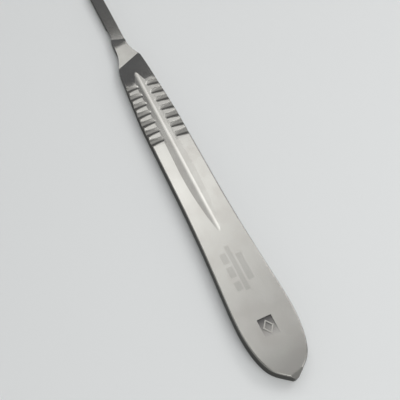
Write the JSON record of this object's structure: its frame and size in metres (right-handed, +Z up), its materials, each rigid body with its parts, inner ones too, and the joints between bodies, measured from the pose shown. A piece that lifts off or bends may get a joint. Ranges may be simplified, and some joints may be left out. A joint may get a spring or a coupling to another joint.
{
  "type": "scalpel handle",
  "caption": "Flat forged steel scalpel handle: pointed oval butt, ribbed grip with a central flute, faceted neck and a grooved bar that takes a detachable blade.",
  "frame": {"origin": "on the surface that the handle lies on, under the middle of its length and width", "axes": "+X along the handle towards the blade fitting, +Y across it, +Z up through its thickness, with the fitting's plain back facing up"},
  "size_m": [0.135, 0.0136, 0.0038],
  "materials": {
    "satin_stainless_steel": "satin finish on forged stainless steel"
  },
  "bodies": {
    "root": {"scalpel_handle": "satin_stainless_steel"}
  },
  "joints": []
}
